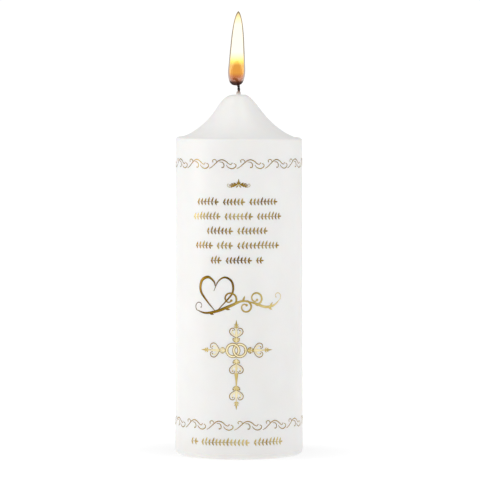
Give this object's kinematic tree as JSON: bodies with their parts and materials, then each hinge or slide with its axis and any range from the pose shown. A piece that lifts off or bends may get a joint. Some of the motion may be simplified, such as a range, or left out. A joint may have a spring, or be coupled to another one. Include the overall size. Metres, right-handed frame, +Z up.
{
  "type": "unity candle",
  "caption": "Round white pillar candle with a bell-shaped shoulder, a lit cotton wick and gold foil scroll borders, garlands, a flourish and a ringed filigree cross.",
  "frame": {"origin": "centre of the underside, at the height of the surface that the candle stands on", "axes": "+Z up along the pillar and the wick, -Y towards the front with the ornament, +X to the right as seen from the front"},
  "size_m": [0.078, 0.078, 0.2677],
  "materials": {
    "wax": "satin white paraffin wax, slightly translucent",
    "wick_cotton": "braided cotton, charred above the wax",
    "tab_steel": "thin pressed tinplate",
    "flame_glow": "burning gas, glowing white to yellow",
    "gold_foil": "hot-stamped gold foil, bronze to pale gold"
  },
  "bodies": {
    "root": {"wax_body": "wax", "wick": "wick_cotton", "wick_tab": "tab_steel", "flame": "flame_glow", "top_border_foil": "gold_foil", "crest_foil": "gold_foil", "verse_row_1_foil": "gold_foil", "verse_row_2_foil": "gold_foil", "verse_row_3_foil": "gold_foil", "verse_row_4_foil": "gold_foil", "verse_row_5_foil": "gold_foil", "flourish_foil": "gold_foil", "cross_foil": "gold_foil", "bottom_border_foil": "gold_foil", "caption_row_foil": "gold_foil"}
  },
  "joints": []
}
